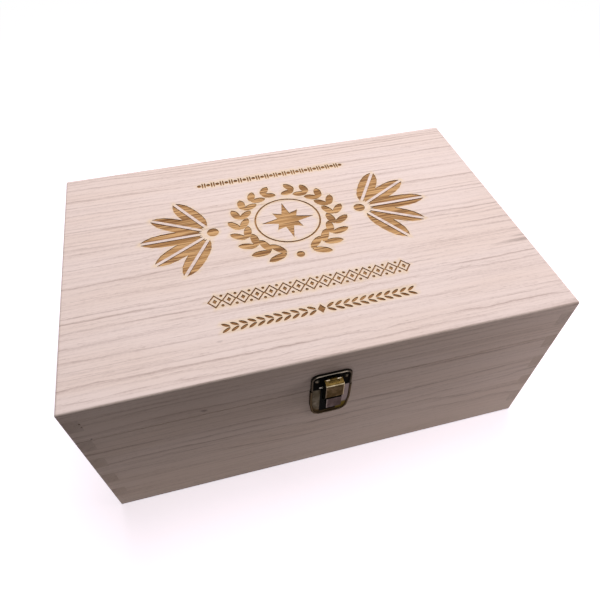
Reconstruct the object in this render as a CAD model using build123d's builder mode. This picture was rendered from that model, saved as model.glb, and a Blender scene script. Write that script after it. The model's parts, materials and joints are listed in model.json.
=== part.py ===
"""Hinged wooden keepsake box with finger-jointed corners and a brass toggle latch.

The box stands on Z = 0 with its origin at the centre of the underside: X runs along the
length, Y from the latch at the front to the hinges at the back, Z up. Lengths are in mm.
"""

from build123d import *
import math
import os

os.makedirs("parts", exist_ok=True)

# ---------------------------------------------------------------- case
box_length = 300.0          # over the side walls
box_width = 200.0           # over the front and back walls
box_height = 130.0          # underside to top
board = 9.0                 # thickness of the four walls
bottom_thickness = 5.0
top_thickness = 8.5
base_fingers = 8            # fingers of one height at every corner, below the saw cut
lid_fingers = 2             # and above it
saw_gap = 0.2               # left where the lid is sawn from the base
upright_ease = 1.0          # rounding of the four upright edges
top_ease = 1.6              # rounding round the top panel
bottom_ease = 0.8           # bevel round the underside
arris = 0.2                 # small bevel on both sides of the saw cut

# ---------------------------------------------------------------- latch plates
latch_x = -3.1              # the latch sits a little left of the middle
plate_sheet = 0.7
rim_width = 1.6             # raised bead round both plates
rim_height = 1.5
rim_slope = 30.0            # degrees from upright
plate_setback = 0.15        # from the sawn edges
strike_width = 25.2
strike_height = 15.4
strike_corner = 5.0
catch_width = 26.0
catch_height = 29.3
catch_straight = 15.0       # length of the parallel sides
catch_end_width = 22.0
catch_corner = 6.5

# ---------------------------------------------------------------- latch mechanism
latch_sheet = 0.8
ring_ease = 0.25            # bevel on the front edges of the ring
side_gap = 0.12             # sideways play between ears, lever and draw ring
ear_inside = 2.9            # half the gap between the two ears
ear_radius = 1.7
ear_foot = 6.2              # height of the ears where they leave the plate
lever_pin_out = 4.0         # distance of the lever's pivot from the front of the box
lever_pin_drop = 2.0        # and below the saw cut
latch_pin_radius = 0.8
lever_eye = 1.8
over_centre = 0.6           # the ring's pivot lies this much behind the lever's
ring_pin_drop = 3.5         # and this much below it
ring_eye = 1.4
lever_face = 7.3
lever_drop = 1.6            # top of the lever below the saw cut
lever_length = 9.6
lever_tail = 2.4            # thumb end, which flares outwards
lever_flare = 0.3
lever_heel = 2.6            # how near the box the lever's sides come at the bend
lever_corner = 0.7
ring_face = 7.5
ring_rise = 0.5             # lower edge of the ring's front above the saw cut
ring_shoulder = 12.4        # bend between the ring's front and its top
ring_bend = 1.0
ring_back = 3.0             # inner end of the ring's top
ring_crest = 12.75
window_width = 6.2          # opening in the ring's top, over the hook
window_back = 3.9
window_front = 5.4
hook_width = 5.4
hook_reach = 5.2
hook_bend = 1.1
hook_lip = 2.2              # turned-up tip
hook_clearance = 0.4        # under the ring's top
rivet_head = 1.3
rivet_head_height = 0.5

# ---------------------------------------------------------------- hinges
hinge_from_end = 60.0       # end of the box to the middle of a hinge
hinge_width = 30.0
leaf_height = 15.0
leaf_sheet = 1.0
leaf_corner = 3.0
barrel_radius = 2.0
barrel_clearance = 0.3      # between the barrel and the wood
hinge_pin_radius = 1.0
knuckle_gap = 0.3
stop_angle = 100.0          # the heel on the middle knuckle stops the lid here
heel_length = 4.6
heel_sheet = 1.1
stop_gap = 0.05

# ---------------------------------------------------------------- nails, screws and fits
nail_head = 1.35
nail_head_height = 0.7
nail_radius = 0.6
strike_nail_spread = 17.6
strike_nail_rise = 9.6
catch_nail_drops = (9.5, 22.0)
screw_head = 1.8
screw_head_height = 0.9
screw_radius = 0.9
head_slope = 45.0           # degrees from upright, on the sides of every head
screw_spread = 18.0
screw_drop = 9.0
shank_sides = 12            # hidden shanks and their holes have flats, which keeps them light
wood_cover = 2.0            # wood left beyond the tip of a nail or screw
hole_depth_spare = 0.5      # beyond the tip of a shank
fixed_clearance = 0.03      # round a riveted or driven shank
running_clearance = 0.05    # round a turning pin

# ---------------------------------------------------------------- derived sizes
carcass_top = box_height - top_thickness
finger_height = (carcass_top - bottom_thickness) / (base_fingers + lid_fingers)
parting = bottom_thickness + base_fingers * finger_height
inner_length = box_length - 2 * board
inner_width = box_width - 2 * board
front = -box_width / 2
back = box_width / 2
shank_length = board - wood_cover
ear_outside = ear_inside + latch_sheet
lever_inside = ear_outside + side_gap
lever_outside = lever_inside + latch_sheet
ring_inside = lever_outside + side_gap
ring_outside = ring_inside + latch_sheet
lever_pivot = (lever_pin_out, -lever_pin_drop)
ring_pivot = (lever_pin_out - over_centre, -lever_pin_drop - ring_pin_drop)
lever_top = -lever_drop
lever_bend = lever_top - lever_length + lever_tail
lever_end = lever_top - lever_length
hinge_middle = box_length / 2 - hinge_from_end
hinge_axis_out = barrel_radius + barrel_clearance
knuckle_length = (hinge_width - 2 * knuckle_gap) / 3

# Latch sketches use (outward, up) from the front of the box at the saw cut, or, on the
# face, (along, up). Hinge sketches use (outward, up) from the back at the saw cut.
latch_side = Plane(origin=(latch_x, front, parting), x_dir=(0, -1, 0), z_dir=(-1, 0, 0))
latch_face = Plane(origin=(latch_x, front, parting), x_dir=(1, 0, 0), z_dir=(0, -1, 0))
back_face = Plane(origin=(0, back, parting), x_dir=(-1, 0, 0), z_dir=(0, 1, 0))


def save(piece, name):
    """Label a finished piece and write it as one STEP file."""
    piece.part.label = name
    export_step(piece.part, f"parts/{name}.step")


def fasteners(plane, places, head, head_height, shank):
    """Nails or screws driven square to a plane: a bevelled head on it and a shank below."""
    with BuildPart(plane) as group:
        with BuildSketch(plane):
            with Locations(*places):
                Circle(head)
        extrude(amount=head_height, taper=head_slope)
        with BuildSketch(plane):
            with Locations(*places):
                RegularPolygon(shank, shank_sides)
        extrude(amount=-shank_length)
    return group


def bores(plane, places, shank):
    """The holes that a set of shanks needs, from in front of a plane to beyond their tips."""
    with BuildPart() as holes:
        with BuildSketch(plane.offset(rim_height)):
            with Locations(*places):
                RegularPolygon(shank + fixed_clearance, shank_sides)
        extrude(amount=-rim_height - shank_length - hole_depth_spare)
    return holes.part


def cheeks(profile, inside, outside):
    """Two mirrored plates of one side profile, from inside to outside of the latch's middle."""
    with BuildPart() as pair:
        for side in (-1, 1):
            with BuildSketch(latch_side.offset(side * inside)):
                add(profile.sketch_local)
            extrude(amount=side * (outside - inside))
    return pair.part


# ---------------------------------------------------------------- fastener places
strike_nail_places = [(side * strike_nail_spread / 2, strike_nail_rise) for side in (-1, 1)]
catch_nail_places = [(0, -drop) for drop in catch_nail_drops]
base_screw_places = [
    (hinge * hinge_middle + side * screw_spread / 2, -screw_drop)
    for hinge in (-1, 1)
    for side in (-1, 1)
]
lid_screw_places = [(x, -z) for x, z in base_screw_places]

# ---------------------------------------------------------------- carcass blocks
# The case is glued up as one block and sawn in two, so both halves share one outline.
with BuildPart() as base_block:
    with BuildSketch():
        RectangleRounded(box_length, box_width, upright_ease)
    extrude(amount=parting)
    chamfer(base_block.faces().sort_by(Axis.Z)[-1].edges(), arris)
    chamfer(base_block.faces().sort_by(Axis.Z)[0].edges(), bottom_ease)
    with BuildSketch(Plane.XY.offset(bottom_thickness)):
        Rectangle(inner_length, inner_width)
    extrude(amount=parting, mode=Mode.SUBTRACT)

with BuildPart() as lid_block:
    with BuildSketch(Plane.XY.offset(parting + saw_gap)):
        RectangleRounded(box_length, box_width, upright_ease)
    extrude(amount=box_height - parting - saw_gap)
    chamfer(lid_block.faces().sort_by(Axis.Z)[0].edges(), arris)
    fillet(lid_block.faces().sort_by(Axis.Z)[-1].edges(), top_ease)
    with BuildSketch(Plane.XY.offset(carcass_top)):
        Rectangle(inner_length, inner_width)
    extrude(amount=-parting, mode=Mode.SUBTRACT)


def wall(block, rows, outward, holes=None):
    """One wall cut from a block, its ends fingered to mesh with its neighbours.

    outward points from the middle of the box to the wall, along X or Y. The front and
    back walls run through the corners in even rows, the side walls in odd rows.
    """
    along_x = outward[0] == 0
    centre = (outward[0] * (box_length - board) / 2, outward[1] * (box_width - board) / 2)
    with BuildPart() as piece:
        for row in rows:
            through = (row % 2 == 0) == along_x
            trim = 0 if through else 2 * board
            with BuildSketch(Plane.XY.offset(bottom_thickness + row * finger_height)):
                with Locations(centre):
                    if along_x:
                        Rectangle(box_length - trim, board)
                    else:
                        Rectangle(board, box_width - trim)
            extrude(amount=finger_height)
        add(block.part, mode=Mode.INTERSECT)
        if holes is not None:
            add(holes, mode=Mode.SUBTRACT)
    return piece


# ---------------------------------------------------------------- base
base_rows = range(base_fingers)
catch_bores = bores(latch_face, catch_nail_places, nail_radius)
base_screw_bores = bores(back_face, base_screw_places, screw_radius)

base_front_board = wall(base_block, base_rows, (0, -1), catch_bores)
save(base_front_board, "base_front_board")

base_back_board = wall(base_block, base_rows, (0, 1), base_screw_bores)
save(base_back_board, "base_back_board")

base_left_board = wall(base_block, base_rows, (-1, 0))
save(base_left_board, "base_left_board")

base_right_board = wall(base_block, base_rows, (1, 0))
save(base_right_board, "base_right_board")

with BuildPart() as bottom_panel:
    with BuildSketch():
        Rectangle(box_length, box_width)
    extrude(amount=bottom_thickness)
    add(base_block.part, mode=Mode.INTERSECT)
save(bottom_panel, "bottom_panel")

# ---------------------------------------------------------------- lid
lid_rows = range(base_fingers, base_fingers + lid_fingers)
strike_bores = bores(latch_face, strike_nail_places, nail_radius)
lid_screw_bores = bores(back_face, lid_screw_places, screw_radius)

lid_front_rail = wall(lid_block, lid_rows, (0, -1), strike_bores)
save(lid_front_rail, "lid_front_rail")

lid_back_rail = wall(lid_block, lid_rows, (0, 1), lid_screw_bores)
save(lid_back_rail, "lid_back_rail")

lid_left_rail = wall(lid_block, lid_rows, (-1, 0))
save(lid_left_rail, "lid_left_rail")

lid_right_rail = wall(lid_block, lid_rows, (1, 0))
save(lid_right_rail, "lid_right_rail")

with BuildPart() as lid_top_panel:
    with BuildSketch(Plane.XY.offset(carcass_top)):
        Rectangle(box_length, box_width)
    extrude(amount=top_thickness)
    add(lid_block.part, mode=Mode.INTERSECT)
save(lid_top_panel, "lid_top_panel")


# ---------------------------------------------------------------- latch plates
def rimmed_plate(outline, parting_edge, width):
    """A pressed plate with a raised, bevelled bead on every edge but the one at the saw cut."""
    bead = rim_height - plate_sheet
    with BuildPart() as plate:
        with BuildSketch(latch_face):
            add(outline.sketch_local)
        extrude(amount=plate_sheet)
        with BuildSketch(latch_face.offset(plate_sheet)):
            add(outline.sketch_local)
        extrude(amount=bead, taper=rim_slope)
        with BuildSketch(latch_face.offset(plate_sheet)):
            add(outline.sketch_local)
            offset(amount=-rim_width, mode=Mode.REPLACE)
            with Locations((0, parting_edge)):
                Rectangle(width - 2 * rim_width, 2 * rim_width + plate_sheet)
        extrude(amount=bead, taper=-rim_slope, mode=Mode.SUBTRACT)
    return plate.part


strike_foot = saw_gap + plate_setback
with BuildSketch() as strike_outline:
    with Locations((0, strike_foot)):
        Rectangle(strike_width, strike_height, align=(Align.CENTER, Align.MIN))
    fillet(strike_outline.vertices().group_by(Axis.Y)[-1], strike_corner)

# Height that the hook's tip may reach: the underside of the ring's sloping top, less a clearance.
ring_spine_out = ring_face - latch_sheet / 2
ring_slope = (ring_crest - ring_shoulder) / (ring_spine_out - ring_back)
ring_underside = (
    ring_shoulder
    + ring_slope * (ring_spine_out - hook_reach)
    - latch_sheet / 2 * math.hypot(1, ring_slope)
)
hook_tip = ring_underside - hook_clearance
hook_floor = hook_tip - hook_lip + latch_sheet / 2

with BuildPart() as strike_plate:
    add(rimmed_plate(strike_outline, strike_foot, strike_width))
    with BuildSketch(latch_side):
        with BuildLine():
            FilletPolyline(
                (plate_sheet / 2, hook_floor),
                (hook_reach - latch_sheet / 2, hook_floor),
                (hook_reach - latch_sheet / 2, hook_tip),
                radius=hook_bend,
            )
        trace(line_width=latch_sheet)
    extrude(amount=hook_width / 2, both=True)
    add(strike_bores, mode=Mode.SUBTRACT)
save(strike_plate, "strike_plate")

with BuildSketch() as catch_outline:
    with BuildLine():
        Polyline(
            (-catch_width / 2, -plate_setback),
            (catch_width / 2, -plate_setback),
            (catch_width / 2, -catch_straight),
            (catch_end_width / 2, -catch_height),
            (-catch_end_width / 2, -catch_height),
            (-catch_width / 2, -catch_straight),
            close=True,
        )
    make_face()
    fillet(catch_outline.vertices().group_by(Axis.Y)[:2], catch_corner)

with BuildSketch() as ear_profile:
    with BuildLine():
        Line((plate_sheet / 2, -plate_setback), (plate_sheet / 2, -plate_setback - ear_foot))
        CenterArc(lever_pivot, ear_radius, 0, 360)
    make_hull()
    with Locations(lever_pivot):
        Circle(latch_pin_radius + running_clearance, mode=Mode.SUBTRACT)

with BuildPart() as catch_plate:
    add(rimmed_plate(catch_outline, -plate_setback, catch_width))
    add(cheeks(ear_profile, ear_inside, ear_outside))
    add(catch_bores, mode=Mode.SUBTRACT)
save(catch_plate, "catch_plate")

plate_field = latch_face.offset(plate_sheet)
strike_nails = fasteners(plate_field, strike_nail_places, nail_head, nail_head_height, nail_radius)
save(strike_nails, "strike_nails")

catch_nails = fasteners(plate_field, catch_nail_places, nail_head, nail_head_height, nail_radius)
save(catch_nails, "catch_nails")

# ---------------------------------------------------------------- lever
with BuildSketch() as lever_cheek:
    with BuildLine():
        Line((lever_face - latch_sheet / 2, lever_top), (lever_face - latch_sheet / 2, lever_bend))
        Line((lever_face - latch_sheet / 2, lever_bend), (lever_heel, lever_bend))
        CenterArc(lever_pivot, lever_eye, 0, 360)
        CenterArc(ring_pivot, ring_eye, 0, 360)
    make_hull()
    with Locations(lever_pivot, ring_pivot):
        Circle(latch_pin_radius + fixed_clearance, mode=Mode.SUBTRACT)

with BuildPart() as latch_lever:
    with BuildSketch(latch_side):
        with BuildLine():
            Polyline(
                (lever_face - latch_sheet / 2, lever_top),
                (lever_face - latch_sheet / 2, lever_bend),
                (lever_face - latch_sheet / 2 + lever_flare, lever_end),
            )
        trace(line_width=latch_sheet)
    extrude(amount=lever_outside, both=True)
    with BuildSketch(latch_face) as lever_front:
        with Locations((0, lever_end)):
            Rectangle(2 * lever_outside, lever_length + latch_sheet, align=(Align.CENTER, Align.MIN))
        fillet(lever_front.vertices().group_by(Axis.Z)[0], lever_corner)
    extrude(amount=2 * lever_face, mode=Mode.INTERSECT)
    add(cheeks(lever_cheek, lever_inside, lever_outside))
save(latch_lever, "latch_lever")

with BuildPart() as lever_pin:
    with BuildSketch(latch_side):
        with Locations(lever_pivot):
            Circle(latch_pin_radius)
    extrude(amount=lever_outside, both=True)
save(lever_pin, "lever_pin")

# ---------------------------------------------------------------- draw ring
ring_spine = [
    (ring_spine_out, ring_rise),
    (ring_spine_out, ring_shoulder),
    (ring_back, ring_crest),
]

with BuildSketch() as ring_cheek:
    with BuildLine():
        FilletPolyline(*ring_spine, radius=ring_bend)
        CenterArc(ring_pivot, ring_eye, 0, 360)
    make_hull()
    with Locations(ring_pivot):
        Circle(latch_pin_radius + running_clearance, mode=Mode.SUBTRACT)

with BuildPart() as draw_ring:
    with BuildSketch(latch_side):
        with BuildLine():
            FilletPolyline(*ring_spine, radius=ring_bend)
        trace(line_width=latch_sheet)
    extrude(amount=ring_outside, both=True)
    chamfer(draw_ring.edges().filter_by(Axis.Z).sort_by(Axis.Y)[:2], ring_ease)
    with BuildSketch(Plane.XY.offset(parting + ring_shoulder)):
        with Locations((latch_x, front - (window_back + window_front) / 2)):
            Rectangle(window_width, window_front - window_back)
    extrude(amount=ring_crest, mode=Mode.SUBTRACT)
    add(cheeks(ring_cheek, ring_inside, ring_outside))
save(draw_ring, "draw_ring")

with BuildPart() as ring_rivets:
    for side in (-1, 1):
        with BuildSketch(latch_side.offset(side * lever_inside)):
            with Locations(ring_pivot):
                Circle(latch_pin_radius)
        extrude(amount=side * (ring_outside + running_clearance - lever_inside))
        with BuildSketch(latch_side.offset(side * (ring_outside + running_clearance))):
            with Locations(ring_pivot):
                Circle(rivet_head)
        extrude(amount=side * rivet_head_height, taper=head_slope)
save(ring_rivets, "ring_rivets")


# ---------------------------------------------------------------- hinges
def hinge_leaf(middle, up, own_knuckles, heel):
    """A leaf against the back of the box: up is 1 on the lid and -1 on the base.

    own_knuckles lists which of the three knuckle places, counted from the middle, it fills.
    """
    foot = saw_gap if up > 0 else 0
    side = Plane(origin=(middle, back, parting), x_dir=(0, 1, 0), z_dir=(1, 0, 0))
    face = Plane(origin=(middle, back, parting), x_dir=(-1, 0, 0), z_dir=(0, 1, 0))
    with BuildPart() as leaf:
        with BuildSketch(face) as leaf_outline:
            with Locations((0, up * (foot + leaf_height) / 2)):
                Rectangle(hinge_width, leaf_height - foot)
            outer_corners = leaf_outline.vertices().group_by(Axis.Z)[-1 if up > 0 else 0]
            fillet(outer_corners, leaf_corner)
        extrude(amount=leaf_sheet)
        for place in (-1, 0, 1):
            start = place * (knuckle_length + knuckle_gap) - knuckle_length / 2
            if place in own_knuckles:
                with BuildSketch(side.offset(start)):
                    with Locations((hinge_axis_out, 0)):
                        Circle(barrel_radius)
                extrude(amount=knuckle_length)
            else:
                with BuildSketch(side.offset(start - knuckle_gap)):
                    with Locations((0, 0)):
                        Rectangle(2 * leaf_sheet, 2 * hinge_axis_out)
                extrude(amount=knuckle_length + 2 * knuckle_gap, mode=Mode.SUBTRACT)
        if heel:
            # Drawn where it bears on the base leaf with the lid fully open, then turned shut.
            bearing = leaf_sheet + stop_gap - hinge_axis_out + heel_sheet / 2
            with BuildSketch(side.offset(-knuckle_length / 2)):
                with Locations(Location((hinge_axis_out, 0, 0), (0, 0, stop_angle))):
                    with Locations((bearing, -heel_length)):
                        Rectangle(heel_sheet, heel_length - barrel_radius / 2, align=(Align.CENTER, Align.MIN))
            extrude(amount=knuckle_length)
        with BuildSketch(side.offset(-hinge_width)):
            with Locations((hinge_axis_out, 0)):
                Circle(hinge_pin_radius + running_clearance)
        extrude(amount=2 * hinge_width, mode=Mode.SUBTRACT)
        add(lid_screw_bores if up > 0 else base_screw_bores, mode=Mode.SUBTRACT)
    return leaf


def hinge_pin(middle):
    """The plain pin of one hinge, flush with its barrel."""
    side = Plane(origin=(middle, back + hinge_axis_out, parting), x_dir=(0, 1, 0), z_dir=(1, 0, 0))
    with BuildPart() as pin:
        with BuildSketch(side):
            Circle(hinge_pin_radius)
        extrude(amount=hinge_width / 2, both=True)
    return pin


for hand, middle in (("left", -hinge_middle), ("right", hinge_middle)):
    save(hinge_leaf(middle, -1, (-1, 1), heel=False), f"{hand}_hinge_base_leaf")
    save(hinge_leaf(middle, 1, (0,), heel=True), f"{hand}_hinge_lid_leaf")
    save(hinge_pin(middle), f"{hand}_hinge_pin")

leaf_face = back_face.offset(leaf_sheet)
hinge_base_screws = fasteners(leaf_face, base_screw_places, screw_head, screw_head_height, screw_radius)
save(hinge_base_screws, "hinge_base_screws")

hinge_lid_screws = fasteners(leaf_face, lid_screw_places, screw_head, screw_head_height, screw_radius)
save(hinge_lid_screws, "hinge_lid_screws")
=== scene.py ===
"""A finger-jointed keepsake box of pale paulownia wood, with an engraved lid and a brass latch."""

import bpy
import json
import math
from mathutils import Matrix, Vector
from mathutils.kdtree import KDTree

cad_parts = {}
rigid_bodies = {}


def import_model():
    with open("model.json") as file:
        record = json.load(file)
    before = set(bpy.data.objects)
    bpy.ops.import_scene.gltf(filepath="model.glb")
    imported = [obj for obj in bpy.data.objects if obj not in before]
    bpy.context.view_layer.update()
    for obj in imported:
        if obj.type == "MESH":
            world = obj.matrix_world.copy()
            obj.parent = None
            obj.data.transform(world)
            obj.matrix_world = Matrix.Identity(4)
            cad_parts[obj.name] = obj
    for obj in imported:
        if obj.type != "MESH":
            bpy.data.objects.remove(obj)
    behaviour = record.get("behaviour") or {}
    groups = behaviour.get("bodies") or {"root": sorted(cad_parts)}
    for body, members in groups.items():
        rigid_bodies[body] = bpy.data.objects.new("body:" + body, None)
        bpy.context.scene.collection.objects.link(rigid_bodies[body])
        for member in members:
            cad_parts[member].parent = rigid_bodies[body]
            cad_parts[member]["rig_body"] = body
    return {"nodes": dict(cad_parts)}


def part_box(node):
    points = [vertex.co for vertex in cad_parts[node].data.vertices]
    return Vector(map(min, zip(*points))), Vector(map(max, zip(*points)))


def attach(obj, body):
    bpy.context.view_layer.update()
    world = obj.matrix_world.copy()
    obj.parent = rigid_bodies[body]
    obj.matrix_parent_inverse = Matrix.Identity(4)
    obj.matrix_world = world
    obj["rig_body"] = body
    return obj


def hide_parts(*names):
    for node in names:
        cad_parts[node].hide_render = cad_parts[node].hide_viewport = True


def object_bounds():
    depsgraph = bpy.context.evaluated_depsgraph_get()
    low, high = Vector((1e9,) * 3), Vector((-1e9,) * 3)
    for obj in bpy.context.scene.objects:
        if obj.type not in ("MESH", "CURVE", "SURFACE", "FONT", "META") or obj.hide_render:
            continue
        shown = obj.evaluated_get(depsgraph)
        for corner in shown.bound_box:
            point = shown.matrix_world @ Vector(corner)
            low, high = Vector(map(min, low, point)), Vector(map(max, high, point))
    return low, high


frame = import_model()
cad_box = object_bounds()
MM = 0.001

# -------------------------------------------------- bottom board
# The thin bottom is one board of pale paulownia, grain along the length, glued under the walls.
# Its sharp edges are broken with sandpaper. The wood itself is described here, because this
# is the first board that is laid down.


class Shade:
    """A value in a material's node tree. Arithmetic on it adds Math nodes."""

    def __init__(self, tree, socket):
        self.tree = tree
        self.socket = socket

    def add(self, kind, settings=None, sockets=None, output=0):
        """Add any node: its settings first, then the values or links of its sockets."""
        node = self.tree.nodes.new(kind)
        for name, value in (settings or {}).items():
            setattr(node, name, value)
        for name, value in (sockets or {}).items():
            if isinstance(value, Shade):
                self.tree.links.new(value.socket, node.inputs[name])
            else:
                node.inputs[name].default_value = value
        return Shade(self.tree, node.outputs[output])

    def math(self, operation, *values):
        """A Math node on the values given."""
        return self.add("ShaderNodeMath", {"operation": operation}, dict(enumerate(values)))

    def __add__(self, other):
        return self.math("ADD", self, other)

    def __radd__(self, other):
        return self.math("ADD", other, self)

    def __sub__(self, other):
        return self.math("SUBTRACT", self, other)

    def __rsub__(self, other):
        return self.math("SUBTRACT", other, self)

    def __mul__(self, other):
        return self.math("MULTIPLY", self, other)

    def __rmul__(self, other):
        return self.math("MULTIPLY", other, self)

    def __truediv__(self, other):
        return self.math("DIVIDE", self, other)

    def __pow__(self, other):
        return self.math("POWER", self, other)

    def between(self, low, high):
        """0 below low, 1 above high, and a smooth step from one to the other."""
        settings = {"interpolation_type": "SMOOTHSTEP"}
        sockets = {"Value": self, "From Min": low, "From Max": high}
        return self.add("ShaderNodeMapRange", settings, sockets)

    def mix(self, below, above):
        """The colour below where this value is 0, and above where it is 1."""
        sockets = {0: self, 6: below, 7: above}
        return self.add("ShaderNodeMix", {"data_type": "RGBA"}, sockets, output=2)

    def stretched(self, sizes):
        """Coordinates divided by three sizes, so that a pattern is drawn out along them."""
        factors = tuple(1 / size for size in sizes)
        return self.add("ShaderNodeVectorMath", {"operation": "MULTIPLY"}, {0: self, 1: factors})

    def noise(self, detail=2.0, roughness=0.5):
        """Soft noise from 0 to 1 at these coordinates, about one unit from blob to blob."""
        sockets = {"Vector": self, "Scale": 1.0, "Detail": detail, "Roughness": roughness}
        return self.add("ShaderNodeTexNoise", None, sockets)

    def bump(self, strength, distance):
        """The normals of a surface with this height, for a depth in mm."""
        sockets = {"Height": self, "Strength": strength, "Distance": distance * MM}
        return self.add("ShaderNodeBump", None, sockets)


def new_finish(name):
    """An empty material: returns it, its Principled shader and its object coordinates in mm."""
    finish = bpy.data.materials.new(name)
    finish.use_nodes = True
    tree = finish.node_tree
    shader = next(node for node in tree.nodes if node.type == "BSDF_PRINCIPLED")
    place = Shade(tree, None).add("ShaderNodeTexCoord", output=3)
    in_mm = place.add("ShaderNodeVectorMath", {"operation": "SCALE"}, {0: place, "Scale": 1 / MM})
    return finish, shader, in_mm


def feed(shader, **values):
    """Connect values to a Principled shader's sockets, or set them where they are constant."""
    for name, value in values.items():
        socket = shader.inputs[name.replace("_", " ")]
        if isinstance(value, Shade):
            value.tree.links.new(value.socket, socket)
        else:
            socket.default_value = value


end_grain = (0.51, 0.41, 0.355, 1.0)
scorched = (0.83, 0.60, 0.33, 1.0)


def paulownia(
    name, grain, pith, ring, sweep, half_length, pale, warm, line,
    bold=0.7, streaky=0.25, end=0.8, flecks_and_shade=(), scorch=None,
):
    """Sawn paulownia. grain is the axis that it runs along, 0 for X and 1 for Y.

    pith is where the heart of the tree lay, across the grain, ring the width of a year, and sweep
    how far the years wander along the board, all in mm. bold says how dark the years' lines are,
    streaky how dark the finer ones, and end how much the end grain browns. Most entries of
    flecks_and_shade are small dark marks, and broad ones are painted shade: each gives its place,
    length along the grain, width and strength. scorch names the vertex attribute that says how
    near a burn is.
    """
    finish, shader, place = new_finish(name)
    x, y, z = (place.add("ShaderNodeSeparateXYZ", None, {0: place}, output=i) for i in range(3))
    along, across = (x, y) if grain == 0 else (y, x)

    def drawn(length, width):
        return place.stretched((length, width, width) if grain == 0 else (width, length, width))

    # the years: rings about the pith that wander, each with its dark late wood at the outside
    sway = (drawn(190, 46).noise(1.0) - 0.5) * sweep + (drawn(46, 12).noise(1.0) - 0.5) * 3.0
    ripple = (drawn(11, 5).noise(1.0) - 0.5) * 1.1
    radius = ((across - pith[0]) ** 2 + (z - pith[1]) ** 2) ** 0.5
    years = (radius + sway + ripple + along * 0.012) / ring
    years = years + years.math("SINE", years * 0.83) * 0.55
    year = years.math("FLOOR", years)
    season = years - year
    strength = year.add("ShaderNodeTexWhiteNoise", {"noise_dimensions": "1D"}, {"W": year})
    fade = drawn(60, 7).noise(2.0).between(0.34, 0.66)
    late = (season ** 3.4) * (1 - season.between(0.93, 1.0)) * (0.25 + 0.75 * strength)
    early = (1 - season.between(0.0, 0.3)) * 0.2
    rings = (late * 1.3 + early) * (0.4 + 0.6 * fade)

    # finer lines along the board, fibres, open pores in the early wood, and a broad change of tint
    streaks = drawn(230, 2.0).noise(2.0, 0.6).between(0.42, 0.68)
    hairlines = drawn(130, 0.8).noise(2.0, 0.6).between(0.52, 0.68)
    fibre = drawn(11, 0.5).noise(3.0, 0.65)
    in_early_wood = 0.4 + 0.6 * (1 - season.between(0.1, 0.6))
    pores = drawn(5.5, 0.42).noise(1.0).between(0.62, 0.74) * in_early_wood
    broad = drawn(150, 24).noise(2.0)
    tint = broad.between(0.32, 0.68).mix(pale, warm)
    drawn_lines = streaks * streaky + hairlines * streaky * 0.7
    mottle = drawn(2.4, 1.3).noise(2.0, 0.6)
    grit = (0.5 - fibre) * 0.8 + (0.5 - mottle) * 0.45
    shade = (rings * bold + drawn_lines + pores * 0.4 + grit + 0.06).between(0.0, 1.3)
    colour = shade.mix(tint, line)

    # browned end grain within the last half millimetre, small dark marks, broad painted shade, and
    # scorching
    butt = along.math("ABSOLUTE", along).between(half_length - 0.5, half_length - 0.1)
    open_pores = place.stretched((0.9, 0.9, 0.9)).noise(2.0).between(0.45, 0.62)
    colour = (butt * end).mix(colour, end_grain)
    marks_and_shade = butt * (0.01 + 0.05 * open_pores)
    for spot, long, wide, strength in flecks_and_shade:
        spans = (long, wide, wide) if grain == 0 else (wide, long, wide)
        parts = [((part - at) / span) ** 2 for part, at, span in zip((x, y, z), spot, spans)]
        away = (parts[0] + parts[1] + parts[2]) ** 0.5 + (fibre - 0.5) * 0.8
        marks_and_shade = marks_and_shade + (1 - away.between(0.25, 1.0)) * strength
    colour = marks_and_shade.between(0.0, 1.0).mix(colour, tuple(c * 0.55 for c in line[:3]) + (1.0,))
    if scorch is not None:
        halo = place.add("ShaderNodeAttribute", {"attribute_name": scorch}, output=2)
        haze = (halo * (0.75 + 0.5 * fibre)).between(0.0, 1.1) * 0.62
        colour = haze.mix(colour, scorched)

    height = fibre * 0.35 - rings * 0.5 - pores * 0.6 - butt * open_pores * 0.5
    relief = height.bump(0.35, 0.12)
    feed(
        shader,
        Base_Color=colour,
        Roughness=0.60 + 0.12 * fibre + 0.08 * butt,
        Normal=relief,
        Specular_IOR_Level=0.35,
    )
    return finish


merge_distance = 0.002 * MM
flat_angle = 1.0            # degrees: facets closer than this are one face
sharp_angle = 35.0          # degrees: edges sharper than this are broken


def eased(node_name, ease, steps=2, edge_slot=-1, smooth=32):
    """A copy of a machined piece with its facets merged and every sharp edge broken.

    ease is the width of the broken edge in mm, edge_slot the finish that it takes, and smooth the
    angle in degrees up to which the shading runs on over an edge.
    """
    piece = bpy.data.objects.new(node_name + "_eased", frame["nodes"][node_name].data.copy())
    bpy.context.scene.collection.objects.link(piece)
    piece.data.materials.clear()
    bpy.ops.object.select_all(action="DESELECT")
    piece.select_set(True)
    bpy.context.view_layer.objects.active = piece
    bpy.ops.object.mode_set(mode="EDIT")
    bpy.ops.mesh.select_all(action="SELECT")
    bpy.ops.mesh.remove_doubles(threshold=merge_distance)
    bpy.ops.mesh.dissolve_limited(angle_limit=math.radians(flat_angle))
    bpy.ops.mesh.quads_convert_to_tris(quad_method="BEAUTY", ngon_method="BEAUTY")
    bpy.ops.object.mode_set(mode="OBJECT")
    bevel = piece.modifiers.new("broken edges", "BEVEL")
    bevel.width = ease * MM
    bevel.segments = steps
    bevel.limit_method = "ANGLE"
    bevel.angle_limit = math.radians(sharp_angle)
    bevel.use_clamp_overlap = False
    bevel.loop_slide = False
    bevel.material = edge_slot
    bpy.ops.object.modifier_apply(modifier=bevel.name)
    bpy.ops.object.shade_smooth_by_angle(angle=math.radians(smooth))
    return piece


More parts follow.
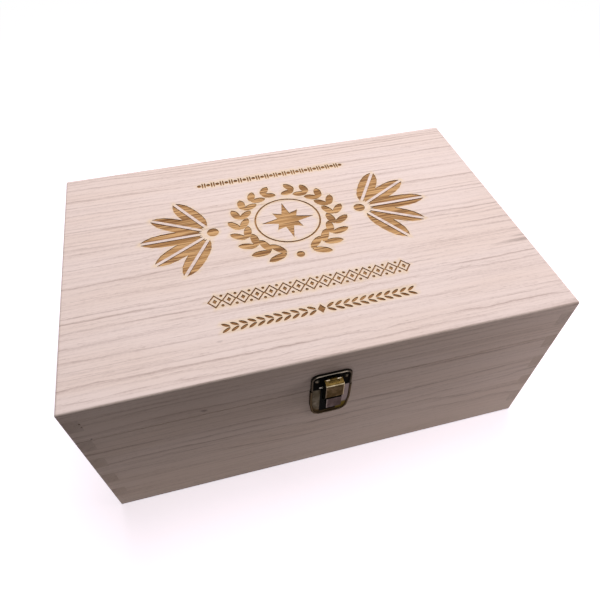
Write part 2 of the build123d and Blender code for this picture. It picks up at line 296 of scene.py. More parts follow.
def fit(piece, node_name, slot, *finishes):
    """Give a piece its finishes and let it stand, and ride, for its node. Flat faces shade flat."""
    bpy.ops.object.select_all(action="DESELECT")
    piece.select_set(True)
    bpy.context.view_layer.objects.active = piece
    weighting = piece.modifiers.new("flat faces stay flat", "WEIGHTED_NORMAL")
    weighting.keep_sharp = True
    bpy.ops.object.modifier_apply(modifier=weighting.name)
    for finish in finishes:
        piece.data.materials.append(finish)
    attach(piece, frame["nodes"][node_name]["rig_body"])
    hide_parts(node_name)


half_box = (cad_box[1][0] - cad_box[0][0]) / 2 / MM
box_top = cad_box[1][2] / MM
wall_face = -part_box("base_front_board")[0].y / MM
bottom_wood = paulownia(
    "bottom paulownia", 0, (30, -160), 7.5, 26, half_box,
    (0.78, 0.64, 0.575, 1.0), (0.74, 0.59, 0.515, 1.0), (0.40, 0.28, 0.22, 1.0),
)
fit(eased("bottom_panel", 0.15), "bottom_panel", "wood", bottom_wood)

# -------------------------------------------------- walls of the base and rails of the lid
# Four walls of 9 mm board, finger-jointed at the corners and glued as one carcass. The lid is then
# sawn off, so that each wall's grain runs on across the cut from the base into the lid.
front_wood = paulownia(
    "front paulownia", 0, (-30, 20), 5.2, 16, half_box,
    (0.765, 0.625, 0.56, 1.0), (0.73, 0.585, 0.51, 1.0), (0.37, 0.26, 0.21, 1.0),
    bold=0.8, streaky=0.3, flecks_and_shade=(
        ((-78, -100, 102.5), 3.0, 1.8, 0.5), ((-140.6, -100, 99.2), 0.9, 1.2, 0.8),
        # the third is no mark but painted shade, which darkens the front's upper left
        ((-60, -100, 110), 78.0, 70.0, 0.26),
    ),
)
back_wood = paulownia(
    "back paulownia", 0, (20, 150), 6.5, 22, half_box,
    (0.77, 0.625, 0.57, 1.0), (0.73, 0.57, 0.49, 1.0), (0.36, 0.24, 0.18, 1.0),
)
left_wood = paulownia(
    "left paulownia", 1, (-80, 10), 6.5, 22, wall_face,
    (0.77, 0.63, 0.58, 1.0), (0.73, 0.57, 0.49, 1.0), (0.36, 0.24, 0.18, 1.0), end=0.4,
    flecks_and_shade=(((-141.4, -100, 117.3), 1.5, 0.9, 1.0), ((-141.2, -100, 113.6), 1.5, 0.9, 1.0)),
)
right_wood = paulownia(
    "right paulownia", 1, (90, 170), 6.0, 20, wall_face,
    (0.77, 0.63, 0.57, 1.0), (0.73, 0.57, 0.49, 1.0), (0.36, 0.24, 0.18, 1.0), end=0.4,
)
wall_woods = {"front": front_wood, "back": back_wood, "left": left_wood, "right": right_wood}
for side, wall_wood in wall_woods.items():
    for node_name in (f"base_{side}_board", f"lid_{side}_rail"):
        fit(eased(node_name, 0.1), node_name, "wood", wall_wood)

# -------------------------------------------------- lid panel and its engraving
# One straight-grained board closes the lid, its upper edge rounded by hand. A laser has burnt a
# wreath, two palmettes and three borders half a millimetre deep, which browns the bared wood and
# leaves a faint yellow haze round every cut.
engraved_depth = 0.5
haze_reach = 2.6
panel = eased("lid_top_panel", 0.15)


def slice_faces(piece, axis, places, height):
    """Divide the upward faces at a height by straight cuts across one axis."""
    normal = (1, 0, 0) if axis == 0 else (0, 1, 0)
    for place in places:
        bpy.ops.object.mode_set(mode="OBJECT")
        for face in piece.data.polygons:
            face.select = face.normal.z > 0.99 and face.center.z > height
        bpy.ops.object.mode_set(mode="EDIT")
        where = tuple(place * MM * part for part in normal)
        bpy.ops.mesh.bisect(plane_co=where, plane_no=normal)
    bpy.ops.object.mode_set(mode="OBJECT")


# a grid over all that is engraved, 108 mm either way along the lid and 78 mm across it, lets the
# haze fade on it
haze_grid = 3.0
just_below_top = (box_top - 0.1) * MM
bpy.context.tool_settings.mesh_select_mode = (False, False, True)
slice_faces(panel, 0, [haze_grid * step for step in range(-36, 37)], just_below_top)
slice_faces(panel, 1, [haze_grid * step for step in range(-26, 27)], just_below_top)

cutters = []


def blank(corners):
    """A flat-topped punch, 1 mm across, as a regular polygon lying on the panel."""
    bpy.ops.object.select_all(action="DESELECT")
    bpy.ops.mesh.primitive_cylinder_add(
        vertices=corners, radius=0.5 * MM, depth=2 * engraved_depth * MM,
        location=(0, 0, box_top * MM),
    )
    punch = bpy.context.object
    bpy.ops.object.transform_apply(location=True)
    return punch


def reshape(punch, chosen, scale):
    """Resize the corners of a punch that a test on their x and y picks out."""
    bpy.ops.object.select_all(action="DESELECT")
    punch.select_set(True)
    bpy.context.view_layer.objects.active = punch
    bpy.context.tool_settings.mesh_select_mode = (True, False, False)
    bpy.ops.object.mode_set(mode="EDIT")
    bpy.ops.mesh.select_all(action="DESELECT")
    bpy.ops.object.mode_set(mode="OBJECT")
    for vertex in punch.data.vertices:
        vertex.select = chosen(vertex.co.x / MM, vertex.co.y / MM)
    bpy.ops.object.mode_set(mode="EDIT")
    bpy.ops.transform.resize(value=scale, center_override=(0, 0, box_top * MM))
    bpy.ops.object.mode_set(mode="OBJECT")


def punch_in(punch, x, y, turn=0.0, length=1.0, width=1.0):
    """Copy a punch to its place on the lid, in mm, turned by degrees and drawn out to size."""
    cut = punch.copy()
    cut.data = punch.data.copy()
    bpy.context.scene.collection.objects.link(cut)
    size = Matrix.Diagonal((length, width, 1, 1))
    spin = Matrix.Rotation(math.radians(turn), 4, "Z")
    cut.data.transform(Matrix.Translation((x * MM, y * MM, 0)) @ spin @ size)
    if width < 0:
        cut.data.flip_normals()
    cutters.append(cut)


def hollow(corners, rim):
    """A punch in the shape of a flat ring or frame, 1 mm across, with a rim that wide."""
    bpy.ops.object.select_all(action="DESELECT")
    bpy.context.tool_settings.mesh_select_mode = (True, False, False)
    start = (0, 0, (box_top - engraved_depth) * MM)
    bpy.ops.mesh.primitive_circle_add(vertices=corners, radius=0.5 * MM, location=start)
    punch = bpy.context.object
    bpy.ops.object.transform_apply(location=True)
    bpy.ops.object.mode_set(mode="EDIT")
    bpy.ops.mesh.select_all(action="SELECT")
    bpy.ops.mesh.extrude_region()
    inner = 1 - 2 * rim
    bpy.ops.transform.resize(value=(inner, inner, 1), center_override=start)
    bpy.ops.mesh.select_all(action="SELECT")
    bpy.ops.mesh.extrude_region()
    bpy.ops.transform.translate(value=(0, 0, 2 * engraved_depth * MM))
    bpy.ops.mesh.select_all(action="SELECT")
    bpy.ops.mesh.normals_make_consistent(inside=False)
    bpy.ops.object.mode_set(mode="OBJECT")
    return punch


# a leaf is a round punch pinched to a point at both ends
leaf_punch = blank(20)
reshape(leaf_punch, lambda x, y: abs(x) > 0.30, (1, 0.86, 1))
reshape(leaf_punch, lambda x, y: abs(x) > 0.42, (1, 0.62, 1))
reshape(leaf_punch, lambda x, y: abs(x) > 0.49, (1, 0.0, 1))
round_punch = blank(20)
lozenge_punch = blank(4)
frame_punch = hollow(4, 0.13)
ring_punch = hollow(72, 0.026)

# a star has four long points, four short ones and a hollow corner between each two
star_punch = blank(16)
for corner in range(16):
    angle = math.radians(corner * 360 / 16)
    reach = 1.0 if corner % 4 == 0 else (0.68 if corner % 2 == 0 else 0.40)
    reshape(
        star_punch,
        lambda x, y, a=angle: math.hypot(x - 0.5 * math.cos(a), y - 0.5 * math.sin(a)) < 0.02,
        (reach, reach, 1),
    )

# half a leaf, so that a broad leaf can be two halves with a bare vein between them
half_leaf_punch = leaf_punch.copy()
half_leaf_punch.data = leaf_punch.data.copy()
bpy.context.scene.collection.objects.link(half_leaf_punch)
bpy.ops.object.select_all(action="DESELECT")
half_leaf_punch.select_set(True)
bpy.context.view_layer.objects.active = half_leaf_punch
bpy.ops.object.mode_set(mode="EDIT")
bpy.ops.mesh.select_all(action="SELECT")
half_vein = (0, 0.035 * MM, 0)
bpy.ops.mesh.bisect(plane_co=half_vein, plane_no=(0, 1, 0), use_fill=True, clear_inner=True)
bpy.ops.object.mode_set(mode="OBJECT")

# a star in a ring, inside a wreath of two branches
wreath_y, wreath_radius = 16.0, 33.0
star_size, ring_size = 37.0, 46.0
first_bearing, pair_spread, leaf_lean = -76, 18, 34         # in degrees
punch_in(star_punch, 0, wreath_y, 0, star_size, star_size)
punch_in(ring_punch, 0, wreath_y, 0, ring_size, ring_size)
for hand in (-1, 1):
    for pair in range(9):
        bearing = first_bearing + pair * pair_spread
        heading = bearing + 90
        centre_x = wreath_radius * math.cos(math.radians(bearing))
        centre_y = wreath_y + wreath_radius * math.sin(math.radians(bearing))
        reach = 13.5 - 0.4 * pair
        for lean in (-1, 1):
            turn = heading + lean * leaf_lean
            leaf_x = centre_x + 0.54 * reach * math.cos(math.radians(turn))
            leaf_y = centre_y + 0.54 * reach * math.sin(math.radians(turn))
            leaf_turn = turn if hand > 0 else 180 - turn
            punch_in(leaf_punch, hand * leaf_x, leaf_y, leaf_turn, reach, 5.4)
punch_in(round_punch, 0, wreath_y - wreath_radius - 2.0, 0, 5.5, 5.5)

# palmettes: a fan of broad veined leaves springing from a bead, at each end
fan_spread, fan_leaf_width = 29, 13.0
for hand in (-1, 1):
    foot_x, foot_y = hand * 52.0, wreath_y
    for fan in range(-2, 3):
        turn = fan * fan_spread
        reach = 43 - 3.0 * abs(fan)
        offset = 6.5 + reach / 2
        leaf_x = foot_x + hand * offset * math.cos(math.radians(turn))
        leaf_y = foot_y + offset * math.sin(math.radians(turn))
        leaf_turn = turn if hand > 0 else 180 - turn
        for half in (1, -1):
            punch_in(half_leaf_punch, leaf_x, leaf_y, leaf_turn, reach, half * fan_leaf_width)
    punch_in(round_punch, foot_x, foot_y, 0, 8.0, 8.0)

# a border of frames and beads below, and finer rows of leaves and of beads and reels
frame_y, frame_pitch = -45.5, 8.6
leaf_row_y, leaf_pitch = -66.3, 5.1
bead_y, bead_pitch = 68.5, 6.8
for step in range(-7, 8):
    frame_x = step * frame_pitch
    punch_in(frame_punch, frame_x, frame_y, 0, 9.2, 10.8)
    punch_in(lozenge_punch, frame_x, frame_y, 0, 2.8, 3.8)
    if step < 7:
        for lean in (-1, 1):
            punch_in(round_punch, frame_x + frame_pitch / 2, frame_y + lean * 3.9, 0, 1.9, 1.9)
punch_in(lozenge_punch, 0, leaf_row_y, 0, 5.0, 6.8)
for hand in (-1, 1):
    for step in range(11):
        leaf_x = hand * (5.8 + leaf_pitch * step)
        for lean in (-1, 1):
            leaf_y = leaf_row_y + lean * 1.75
            punch_in(leaf_punch, leaf_x, leaf_y, hand * lean * 30, 5.8, 1.9)
for step in range(-8, 9):
    bead_x = step * bead_pitch
    punch_in(round_punch, bead_x, bead_y, 0, 3.0, 3.0)
    if step < 8:
        for lean in (-1, 1):
            punch_in(leaf_punch, bead_x + bead_pitch / 2 + lean * 0.9, bead_y, 90, 6.2, 1.25)

bpy.ops.object.select_all(action="DESELECT")
for cut in cutters:
    cut.select_set(True)
bpy.context.view_layer.objects.active = cutters[0]
bpy.ops.object.join()
engraving = bpy.context.object
leaf_punches = (leaf_punch, half_leaf_punch)
for punch in leaf_punches + (round_punch, lozenge_punch, frame_punch, ring_punch, star_punch):
    bpy.data.objects.remove(punch)

panel_wood = paulownia(
    "panel paulownia", 0, (-175, 10), 3.9, 7, half_box,
    (0.83, 0.675, 0.625, 1.0), (0.805, 0.64, 0.575, 1.0), (0.40, 0.28, 0.245, 1.0),
    bold=0.8, streaky=0.25, scorch="scorch", flecks_and_shade=(
        ((-62, -75, 130), 3.0, 1.3, 0.35), ((150, -42, 130), 34.0, 2.8, 0.5),
        ((150, -38, 130), 16.0, 1.6, 0.4),
    ),
)


def burnt_finish(name, light, deep):
    """Wood that the laser bared: toasted from a light to a deep brown, and charred in streaks."""
    finish, shader, place = new_finish(name)
    wide = place.stretched((60, 2.4, 2.4)).noise(2.0, 0.55)
    stripe = place.stretched((44, 1.15, 1.15)).noise(2.0, 0.6).between(0.45, 0.63)
    fine = place.stretched((7, 0.3, 0.3)).noise(2.0)
    toasted = wide.between(0.40, 0.60).mix(light, deep)
    char = (stripe * 0.75 + (fine - 0.5) * 0.5).between(0.0, 1.0)
    charred = char.mix(toasted, (0.17, 0.07, 0.022, 1.0))
    height = fine * 0.6 - stripe * 0.6
    relief = height.bump(0.5, 0.15)
    roughness = 0.72 + 0.15 * fine
    feed(shader, Base_Color=charred, Roughness=roughness, Normal=relief, Specular_IOR_Level=0.25)
    return finish


burnt_wood = burnt_finish("burnt paulownia", (0.66, 0.385, 0.175, 1.0), (0.43, 0.22, 0.085, 1.0))
charred_wood = burnt_finish("charred edge", (0.20, 0.095, 0.035, 1.0), (0.13, 0.055, 0.02, 1.0))
scored_wood = burnt_finish("scored lines", (0.43, 0.22, 0.09, 1.0), (0.27, 0.125, 0.045, 1.0))
engraving.data.materials.clear()
panel_finishes = [panel_wood, burnt_wood, charred_wood, front_wood, back_wood, scored_wood]
for marked in (panel, engraving):
    for finish in panel_finishes:
        marked.data.materials.append(finish)

# the panel's long edges look like the walls below them, broad cuts have toasted floors, and the
# ring and the three borders, which are lines, come out darker
for face in panel.data.polygons:
    if abs(face.normal.y) > 0.45:
        edge_wood = front_wood if face.normal.y < 0 else back_wood
        face.material_index = panel_finishes.index(edge_wood)
for face in engraving.data.polygons:
    x, y = face.center.x / MM, face.center.y / MM
    in_row = y < frame_y + 8 or y > bead_y - 8
    in_ring = abs(math.hypot(x, y - wreath_y) - ring_size / 2) < 1.5
    floor_wood = scored_wood if in_row or in_ring else burnt_wood
    cut_wood = floor_wood if abs(face.normal.z) > 0.5 else charred_wood
    face.material_index = panel_finishes.index(cut_wood)
bpy.ops.object.select_all(action="DESELECT")
panel.select_set(True)
bpy.context.view_layer.objects.active = panel
burn = panel.modifiers.new("laser", "BOOLEAN")
burn.operation = "DIFFERENCE"
burn.solver = "EXACT"
burn.use_self = True
burn.object = engraving
bpy.ops.object.modifier_apply(modifier=burn.name)
bpy.data.objects.remove(engraving)

# the haze that the laser leaves fades out within a few millimetres of a cut
rims = [v.co for v in panel.data.vertices if abs(v.co.z / MM - box_top + engraved_depth) < 0.01]
near_rim = KDTree(len(rims))
for index, spot in enumerate(rims):
    near_rim.insert(spot, index)
near_rim.balance()
haze = panel.data.attributes.new("scorch", "FLOAT", "POINT")
for vertex in panel.data.vertices:
    distance = near_rim.find(vertex.co)[2] / MM
    haze.data[vertex.index].value = max(0.0, 1.0 - distance / haze_reach)
fit(panel, "lid_top_panel", "wood")

# -------------------------------------------------- strike plate and catch plate
# Two plates pressed from 0.7 mm brass, each with a raised rim; the hook stands on one and the
# lever's ears on the other. They are antiqued: blackened all over, then rubbed so that the rims
# and edges show the metal again. Painted light and shade lie over that: a highlight on the strike
# rim's top, a glint low on the strike plate, a reflection on the catch plate's right and the
# lever's shadow on the catch plate. Small round nails hold them to the boards.


def antique_brass(name, dark, mid, bright, rub=0.5, gloss=0.34, metal=1.0, sheen=0.5, patches=()):
    """Blackened brass. dark is the oxide, mid the browned metal and bright the rubbed metal.

    Each patch is a part of the piece coloured apart, some by wear and some as painted light and
    shade: along each axis that bounds it, where it starts and ends and how softly, then its colour
    and how far that colour covers the rest. A nearly black one is not metallic, like thick oxide,
    and any other is metallic.
    """
    finish, shader, place = new_finish(name)
    cloud = place.stretched((5.5, 5.5, 5.5)).noise(3.0, 0.6)
    speck = place.stretched((0.45, 0.45, 0.45)).noise(2.0)
    brushed = place.stretched((3.0, 0.16, 3.0)).noise(2.0)
    wear = (cloud * 0.7 + speck * 0.3).between(0.62 - 0.3 * rub, 0.86 - 0.3 * rub)
    oxide = (cloud * 0.6 + brushed * 0.4).between(0.35, 0.65).mix(dark, mid)
    relief_height = speck * 0.5 + brushed * 0.5
    relief = relief_height.bump(0.2, 0.04)
    colour = wear.mix(oxide, bright)
    bare = metal
    for spans, tone, cover in patches:
        inside = cover
        for axis, (low, high, soft) in spans.items():
            part = place.add("ShaderNodeSeparateXYZ", None, {0: place}, output="xyz".index(axis))
            part = part + (cloud - 0.5) * soft
            inside = inside * part.between(low - soft, low + soft)
            inside = inside * (1 - part.between(high - soft, high + soft))
        colour = inside.mix(colour, tone)
        if max(tone[:3]) < 0.01:
            bare = bare * (1 - inside)
        elif metal < 1:
            bare = bare + (1 - bare) * inside
    feed(
        shader,
        Base_Color=colour,
        Metallic=bare,
        Roughness=gloss + 0.14 * (1 - wear) + 0.12 * (speck - 0.5),
        Normal=relief,
        Specular_IOR_Level=sheen,
        Specular_Tint=(0.5, 0.45, 0.38, 1.0),
    )
    return finish


def paint(piece, choose):
    """Give every face the finish that a rule picks.

    The rule is told which way the face looks, where its centre is, how far out from the wall that
    is, and whether the face is a broken edge, which is what finish 1 stands for until then.
    """
    for face in piece.data.polygons:
        centre = face.center / MM
        out = -centre.y - wall_face
        face.material_index = choose(face.normal, centre, out, face.material_index == 1)


# near-black oxide, which on the sides of the lever and the ring stands as painted shade
oxide_and_shade_tones = ((0.0015, 0.0015, 0.0013, 1.0), (0.006, 0.005, 0.004, 1.0), (0.03, 0.022, 0.012, 1.0))
oxide_and_shade_look = {"rub": 0.1, "gloss": 0.45, "metal": 0.0, "sheen": 0.005}
oxide_and_shade_brass = antique_brass("blackened brass and painted shade", *oxide_and_shade_tones, **oxide_and_shade_look)
rubbed_brass = antique_brass(
    "rubbed brass",
    (0.07, 0.056, 0.04, 1.0), (0.16, 0.13, 0.095, 1.0), (0.32, 0.27, 0.20, 1.0),
    rub=0.5, gloss=0.26,
)
latch_middle = (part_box("draw_ring")[0].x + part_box("draw_ring")[1].x) / 2 / MM
strike_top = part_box("strike_plate")[1].z / MM
strike_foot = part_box("strike_plate")[0].z / MM
catch_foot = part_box("catch_plate")[0].z / MM

# the outermost half millimetre of both rims, which hands rub first
crest = (-wall_face - 1.8, -wall_face - 1.32, 0.07)
rim_brass = antique_brass(
    "browned rim",
    (0.008, 0.004, 0.002, 1.0), (0.026, 0.014, 0.007, 1.0), (0.07, 0.045, 0.022, 1.0),
    rub=0.3, metal=0.7, sheen=0.1, patches=[({"y": crest}, (0.065, 0.05, 0.034, 1.0), 0.8)],
)
# painted highlight: the top run of the strike plate's rim is made bright where it faces the lamp
# above
rim_top_highlight = {
    "y": crest,
    "x": (latch_middle - 9.5, latch_middle + 9, 0.8),
    "z": (strike_top - 2.2, strike_top + 9, 0.3),
}
strike_rim = antique_brass(
    "blackened rim",
    (0.005, 0.004, 0.003, 1.0), (0.013, 0.009, 0.006, 1.0), (0.05, 0.038, 0.028, 1.0),
    rub=0.25, metal=0.7, sheen=0.1, patches=[
        ({"y": crest}, (0.060, 0.050, 0.042, 1.0), 0.8),
        (rim_top_highlight, (0.34, 0.30, 0.24, 1.0), 0.85),
    ],
)
# a painted glint: a small bright metallic patch low on the strike plate's left
painted_glint = {
    "x": (latch_middle - 7.3, latch_middle - 5.1, 0.6),
    "z": (strike_foot + 0.6, strike_foot + 1.9, 0.5),
}
black_field = antique_brass(
    "blackened field", *oxide_and_shade_tones, **oxide_and_shade_look,
    patches=[(painted_glint, (0.62, 0.59, 0.52, 1.0), 0.95)],
)

# the hook is golden, the ring's upward faces over it take the same gold as painted light from
# above, and the ring's two rear corners carry painted highlights
rear_corner_highlights = [
    {
        "x": (latch_middle + near, latch_middle + far, 0.25),
        "y": (-wall_face - 3.75, -wall_face - 2, 0.15),
    }
    for near, far in ((-4.5, -2.5), (2.3, 4.5))
]
gold_brass = antique_brass(
    "golden brass",
    (0.056, 0.034, 0.010, 1.0), (0.130, 0.083, 0.023, 1.0), (0.25, 0.17, 0.07, 1.0),
    rub=0.3, gloss=0.3,
    patches=[(corner, (0.55, 0.45, 0.33, 1.0), 0.85) for corner in rear_corner_highlights],
)

# the catch plate's field is mauve at the right, a painted reflection of brighter surroundings,
# browned at its foot, yellow between the two, and black beside and under the lever, which is the
# lever's painted shadow
right_field_reflection = {
    "x": (latch_middle + 5, latch_middle + 20, 1.0),
    "z": (catch_foot + 9, catch_foot + 30, 1.5),
}
whole_foot = {"z": (catch_foot - 9, catch_foot + 7, 3.0)}
right_foot = {
    "x": (latch_middle + 4, latch_middle + 20, 0.6),
    "z": (catch_foot + 2, catch_foot + 9, 1.5),
}
# painted shadow: the plate is black and not metallic beside and under the lever
lever_shadow = {
    "x": (latch_middle - 6.6, latch_middle + 4, 0.35),
    "z": (catch_foot + 3.2, catch_foot + 30, 0.5),
}
grey_brass = antique_brass(
    "greyed plate",
    (0.035, 0.031, 0.024, 1.0), (0.072, 0.066, 0.054, 1.0), (0.15, 0.135, 0.118, 1.0),
    rub=0.35, sheen=0.005, patches=[
        (right_field_reflection, (0.145, 0.12, 0.122, 1.0), 0.8),
        (whole_foot, (0.024, 0.015, 0.007, 1.0), 0.85),
        (right_foot, (0.060, 0.046, 0.010, 1.0), 0.8),
        (lever_shadow, (0.0015, 0.0013, 0.001, 1.0), 1.0),
    ],
)
field, rim, standing = range(3)                         # the order of a plate's finishes


def plate_paint(normal, centre, out, edge):
    """The field, the rim round it, and what stands up from the middle of the plate."""
    if abs(centre.x - latch_middle) < 9 and catch_foot + 4 < centre.z < strike_top - 3:
        return standing if out > 0.75 else field
    return field if out < 0.8 and normal.y < -0.9 else rim


plate_finishes = {
    "strike_plate": (black_field, strike_rim, gold_brass),
    "catch_plate": (grey_brass, rim_brass, oxide_and_shade_brass),
}
for plate, finishes in plate_finishes.items():
    piece = eased(plate, 0.12, edge_slot=1)
    paint(piece, plate_paint)
    fit(piece, plate, "antique_brass", *finishes)
nail_brass = antique_brass(
    "dulled nail",
    (0.016, 0.013, 0.010, 1.0), (0.050, 0.042, 0.032, 1.0), (0.22, 0.19, 0.15, 1.0),
    rub=0.5, gloss=0.3,
)
for nails in ("strike_nails", "catch_nails"):
    piece = eased(nails, 0.2, 3, edge_slot=1, smooth=50)
    fit(piece, nails, "brass_fasteners", nail_brass, nail_brass)

# -------------------------------------------------- lever, draw ring and their pins
# The lever folds from 0.8 mm sheet with a flared thumb end and turns on a pin through the catch
# plate's ears. The ring that pulls over the hook is riveted to it. Their sides and insides are
# black, on the sides as painted shade, and handling has browned the faces. The ring's top is
# golden as painted light, and its shoulder and edges, and the lever's left edge, carry painted
# highlights.
brown_brass = antique_brass(
    "browned brass",
    (0.030, 0.021, 0.014, 1.0), (0.066, 0.047, 0.031, 1.0), (0.12, 0.088, 0.058, 1.0),
    rub=0.4,
)
ring_left, ring_right = (corner.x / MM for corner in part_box("draw_ring"))
lever_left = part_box("latch_lever")[0].x / MM
ring_brass = antique_brass(
    "browned ring",
    (0.032, 0.023, 0.015, 1.0), (0.068, 0.050, 0.033, 1.0), (0.12, 0.09, 0.062, 1.0),
    rub=0.4, patches=[
        # painted highlights down the ring's right edge and, fainter, its left edge
        ({"x": (ring_right - 0.6, ring_right + 1, 0.1)}, (0.30, 0.25, 0.17, 1.0), 0.85),
        ({"x": (ring_left - 1, ring_left + 0.45, 0.1)}, (0.15, 0.12, 0.09, 1.0), 0.6),
    ],
)
# a painted highlight down the lever's left edge
lever_edge_highlight = {"x": (lever_left - 1, lever_left + 0.5, 0.1)}
lever_brass = antique_brass(
    "greyed lever",
    (0.035, 0.027, 0.029, 1.0), (0.064, 0.050, 0.053, 1.0), (0.11, 0.09, 0.088, 1.0),
    rub=0.4, patches=[(lever_edge_highlight, (0.17, 0.145, 0.135, 1.0), 0.75)],
)
# painted highlight for the ring's shoulder, whose bend faces the lamp above
shoulder_highlight_brass = antique_brass(
    "shoulder highlight brass",
    (0.25, 0.19, 0.11, 1.0), (0.46, 0.37, 0.23, 1.0), (0.66, 0.55, 0.38, 1.0),
    rub=0.7, gloss=0.22,
)
front, rubbed, black, top, shoulder = range(5)          # the order of both pieces' finishes
rubbed_from = 6.2           # edges further out from the wall than this are rubbed


def lever_paint(normal, centre, out, edge):
    """A greyed face with rubbed edges, and black sides and back, the sides as painted shade."""
    if normal.y < -0.85:
        return front
    return rubbed if edge and out > rubbed_from else black


def ring_paint(normal, centre, out, edge):
    """A golden top and a bright shoulder, both painted light, a brown front with rubbed edges, and
    the rest black, on the sides as painted shade.
    """
    if normal.z > 0.8:
        return top
    if normal.z > 0.45 and out > 6.0:
        return shoulder
    if centre.z < strike_foot:
        return black
    if normal.y < -0.7:
        return front
    return rubbed if edge and out > rubbed_from else black


lever = eased("latch_lever", 0.12, edge_slot=1)
paint(lever, lever_paint)
fit(lever, "latch_lever", "antique_brass", lever_brass, rubbed_brass, oxide_and_shade_brass)
lever_pin = eased("lever_pin", 0.15, edge_slot=1)
fit(lever_pin, "lever_pin", "brass_fasteners", oxide_and_shade_brass, rim_brass)
draw_ring = eased("draw_ring", 0.10, edge_slot=1)
paint(draw_ring, ring_paint)
ring_finishes = (ring_brass, rubbed_brass, oxide_and_shade_brass, gold_brass, shoulder_highlight_brass)
fit(draw_ring, "draw_ring", "antique_brass", *ring_finishes)
rivets = eased("ring_rivets", 0.15, edge_slot=1)
fit(rivets, "ring_rivets", "brass_fasteners", oxide_and_shade_brass, rim_brass)

# -------------------------------------------------- hinges and their screws
# Two stop hinges of 1 mm brass, antiqued like the latch. A heel on the lid's knuckle bears on the
# base leaf and holds the lid open. Each leaf takes two small round-headed screws.
hinge_finishes = (brown_brass, rubbed_brass)
hinge_slots = {"base_leaf": "antique_brass", "lid_leaf": "antique_brass", "pin": "brass_fasteners"}
for hand in ("left", "right"):
    for part, slot in hinge_slots.items():
        node_name = f"{hand}_hinge_{part}"
        fit(eased(node_name, 0.12, edge_slot=1), node_name, slot, *hinge_finishes)
for screws in ("hinge_base_screws", "hinge_lid_screws"):
    fit(eased(screws, 0.2, 3, edge_slot=1, smooth=50), screws, "brass_fasteners", *hinge_finishes)

# -------------------------------------------------- floor, lights and camera
# A white table that keeps the box's soft shadow and fades into a white room. One large soft lamp
# hangs above and a little behind, so that the front stays in half shade; a weak one stands in for
# the light that the table throws back up, and another for a bright wall on the right.
bpy.ops.object.select_all(action="DESELECT")
bpy.ops.mesh.primitive_plane_add(size=12, location=(0, 0, 0))
floor = bpy.context.object
floor.name = "studio_floor"
floor_finish = bpy.data.materials.new("white table")
floor_finish.use_nodes = True
floor_tree = floor_finish.node_tree
floor_tree.nodes.clear()


def shown_to(root):
    """1 for what the camera sees, straight or in metal or glass, and 0 for what only lights."""
    camera_ray, glossy_ray, transmission_ray = (
        root.add("ShaderNodeLightPath", output=which) for which in (0, 3, 6)
    )
    return root.math("MAXIMUM", root.math("MAXIMUM", camera_ray, glossy_ray), transmission_ray)


root = Shade(floor_tree, None)
dull_table = root.add("ShaderNodeBsdfDiffuse", None, {"Color": (0.06, 0.055, 0.05, 1.0)})
white_table = root.add("ShaderNodeBsdfDiffuse", None, {"Color": (0.80, 0.70, 0.78, 1.0)})
glow = root.add("ShaderNodeEmission", None, {"Color": (1.0, 0.94, 0.98, 1.0), "Strength": 0.74})
near_table = root.add("ShaderNodeAddShader", None, {0: white_table, 1: glow})
far_white = root.add("ShaderNodeEmission", None, {"Color": (1.0, 1.0, 1.0, 1.0), "Strength": 1.0})
spot = root.add("ShaderNodeTexCoord", output=3)
away = root.add("ShaderNodeVectorMath", {"operation": "LENGTH"}, {0: spot}, output=1)
far = away.between(0.25, 1.0)
bright_table = root.add("ShaderNodeMixShader", None, {0: far, 1: near_table, 2: far_white})
table = root.add("ShaderNodeMixShader", None, {0: shown_to(root), 1: dull_table, 2: bright_table})
floor_output = floor_tree.nodes.new("ShaderNodeOutputMaterial")
floor_tree.links.new(table.socket, floor_output.inputs["Surface"])
floor_finish.cycles.emission_sampling = "NONE"
floor.data.materials.append(floor_finish)

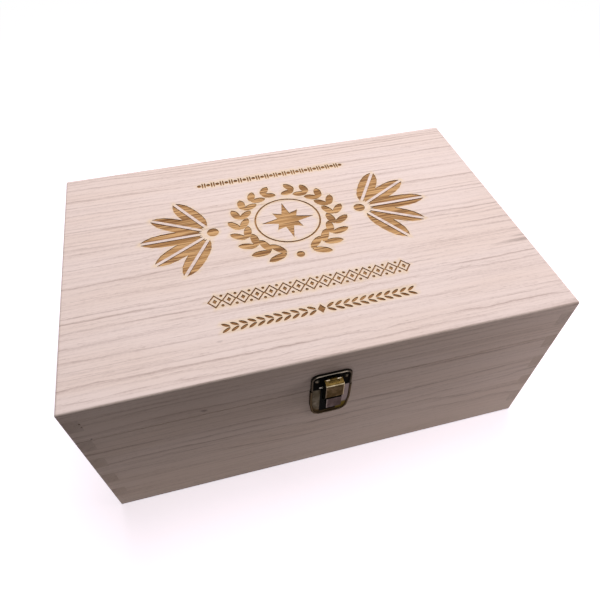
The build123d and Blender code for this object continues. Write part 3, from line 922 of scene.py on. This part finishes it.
world = bpy.data.worlds.new("studio")
bpy.context.scene.world = world
world.use_nodes = True
world_tree = world.node_tree
world_tree.nodes.clear()
sky = Shade(world_tree, None)
dim = sky.add("ShaderNodeBackground", None, {"Color": (1.0, 0.95, 0.92, 1.0), "Strength": 0.065})
white = sky.add("ShaderNodeBackground", None, {"Color": (1.0, 1.0, 1.0, 1.0), "Strength": 1.0})
room = sky.add("ShaderNodeMixShader", None, {0: shown_to(sky), 1: dim, 2: white})
world_output = world_tree.nodes.new("ShaderNodeOutputWorld")
world_tree.links.new(room.socket, world_output.inputs["Surface"])


def soft_lamp(name, place, aim, width, depth, watts, colour):
    """A rectangular lamp at a place in metres, turned to face a point. It doesn't show itself."""
    lamp = bpy.data.lights.new(name, "AREA")
    lamp.shape = "RECTANGLE"
    lamp.size = width
    lamp.size_y = depth
    lamp.color = colour
    lamp.energy = watts
    holder = bpy.data.objects.new(name, lamp)
    bpy.context.scene.collection.objects.link(holder)
    holder.location = place
    holder.rotation_euler = (Vector(aim) - Vector(place)).to_track_quat("-Z", "Y").to_euler()
    holder.visible_camera = False


soft_lamp(
    "overhead", (0.08, 0.22, 0.95), (0.06, 0.10, 0.0),
    width=0.7, depth=0.6, watts=8.4, colour=(1.0, 1.0, 1.02),
)
soft_lamp(
    "table bounce", (0.08, -0.18, 0.002), (0.08, -0.18, 1.0),
    width=0.6, depth=0.16, watts=0.092, colour=(1.0, 0.91, 0.86),
)
soft_lamp(
    "right fill", (0.42, -0.22, 0.19), (0.0, -0.10, 0.09),
    width=0.12, depth=0.12, watts=0.48, colour=(1.0, 0.93, 0.95),
)

# the camera looks down on the lid from in front, a little to the left of the middle
camera = bpy.data.cameras.new("camera")
camera.lens = 30.08
camera.sensor_width = 36.0
camera.shift_x = 0.0160
camera.shift_y = 0.0090
camera_holder = bpy.data.objects.new("camera", camera)
bpy.context.scene.collection.objects.link(camera_holder)
camera_turn = (39.9915, 0.3177, -14.2635)           # in degrees
camera_holder.location = (-0.06297, -0.24429, 0.35704)
camera_holder.rotation_euler = tuple(math.radians(angle) for angle in camera_turn)
bpy.context.scene.camera = camera_holder
bpy.context.scene.view_settings.view_transform = "Standard"
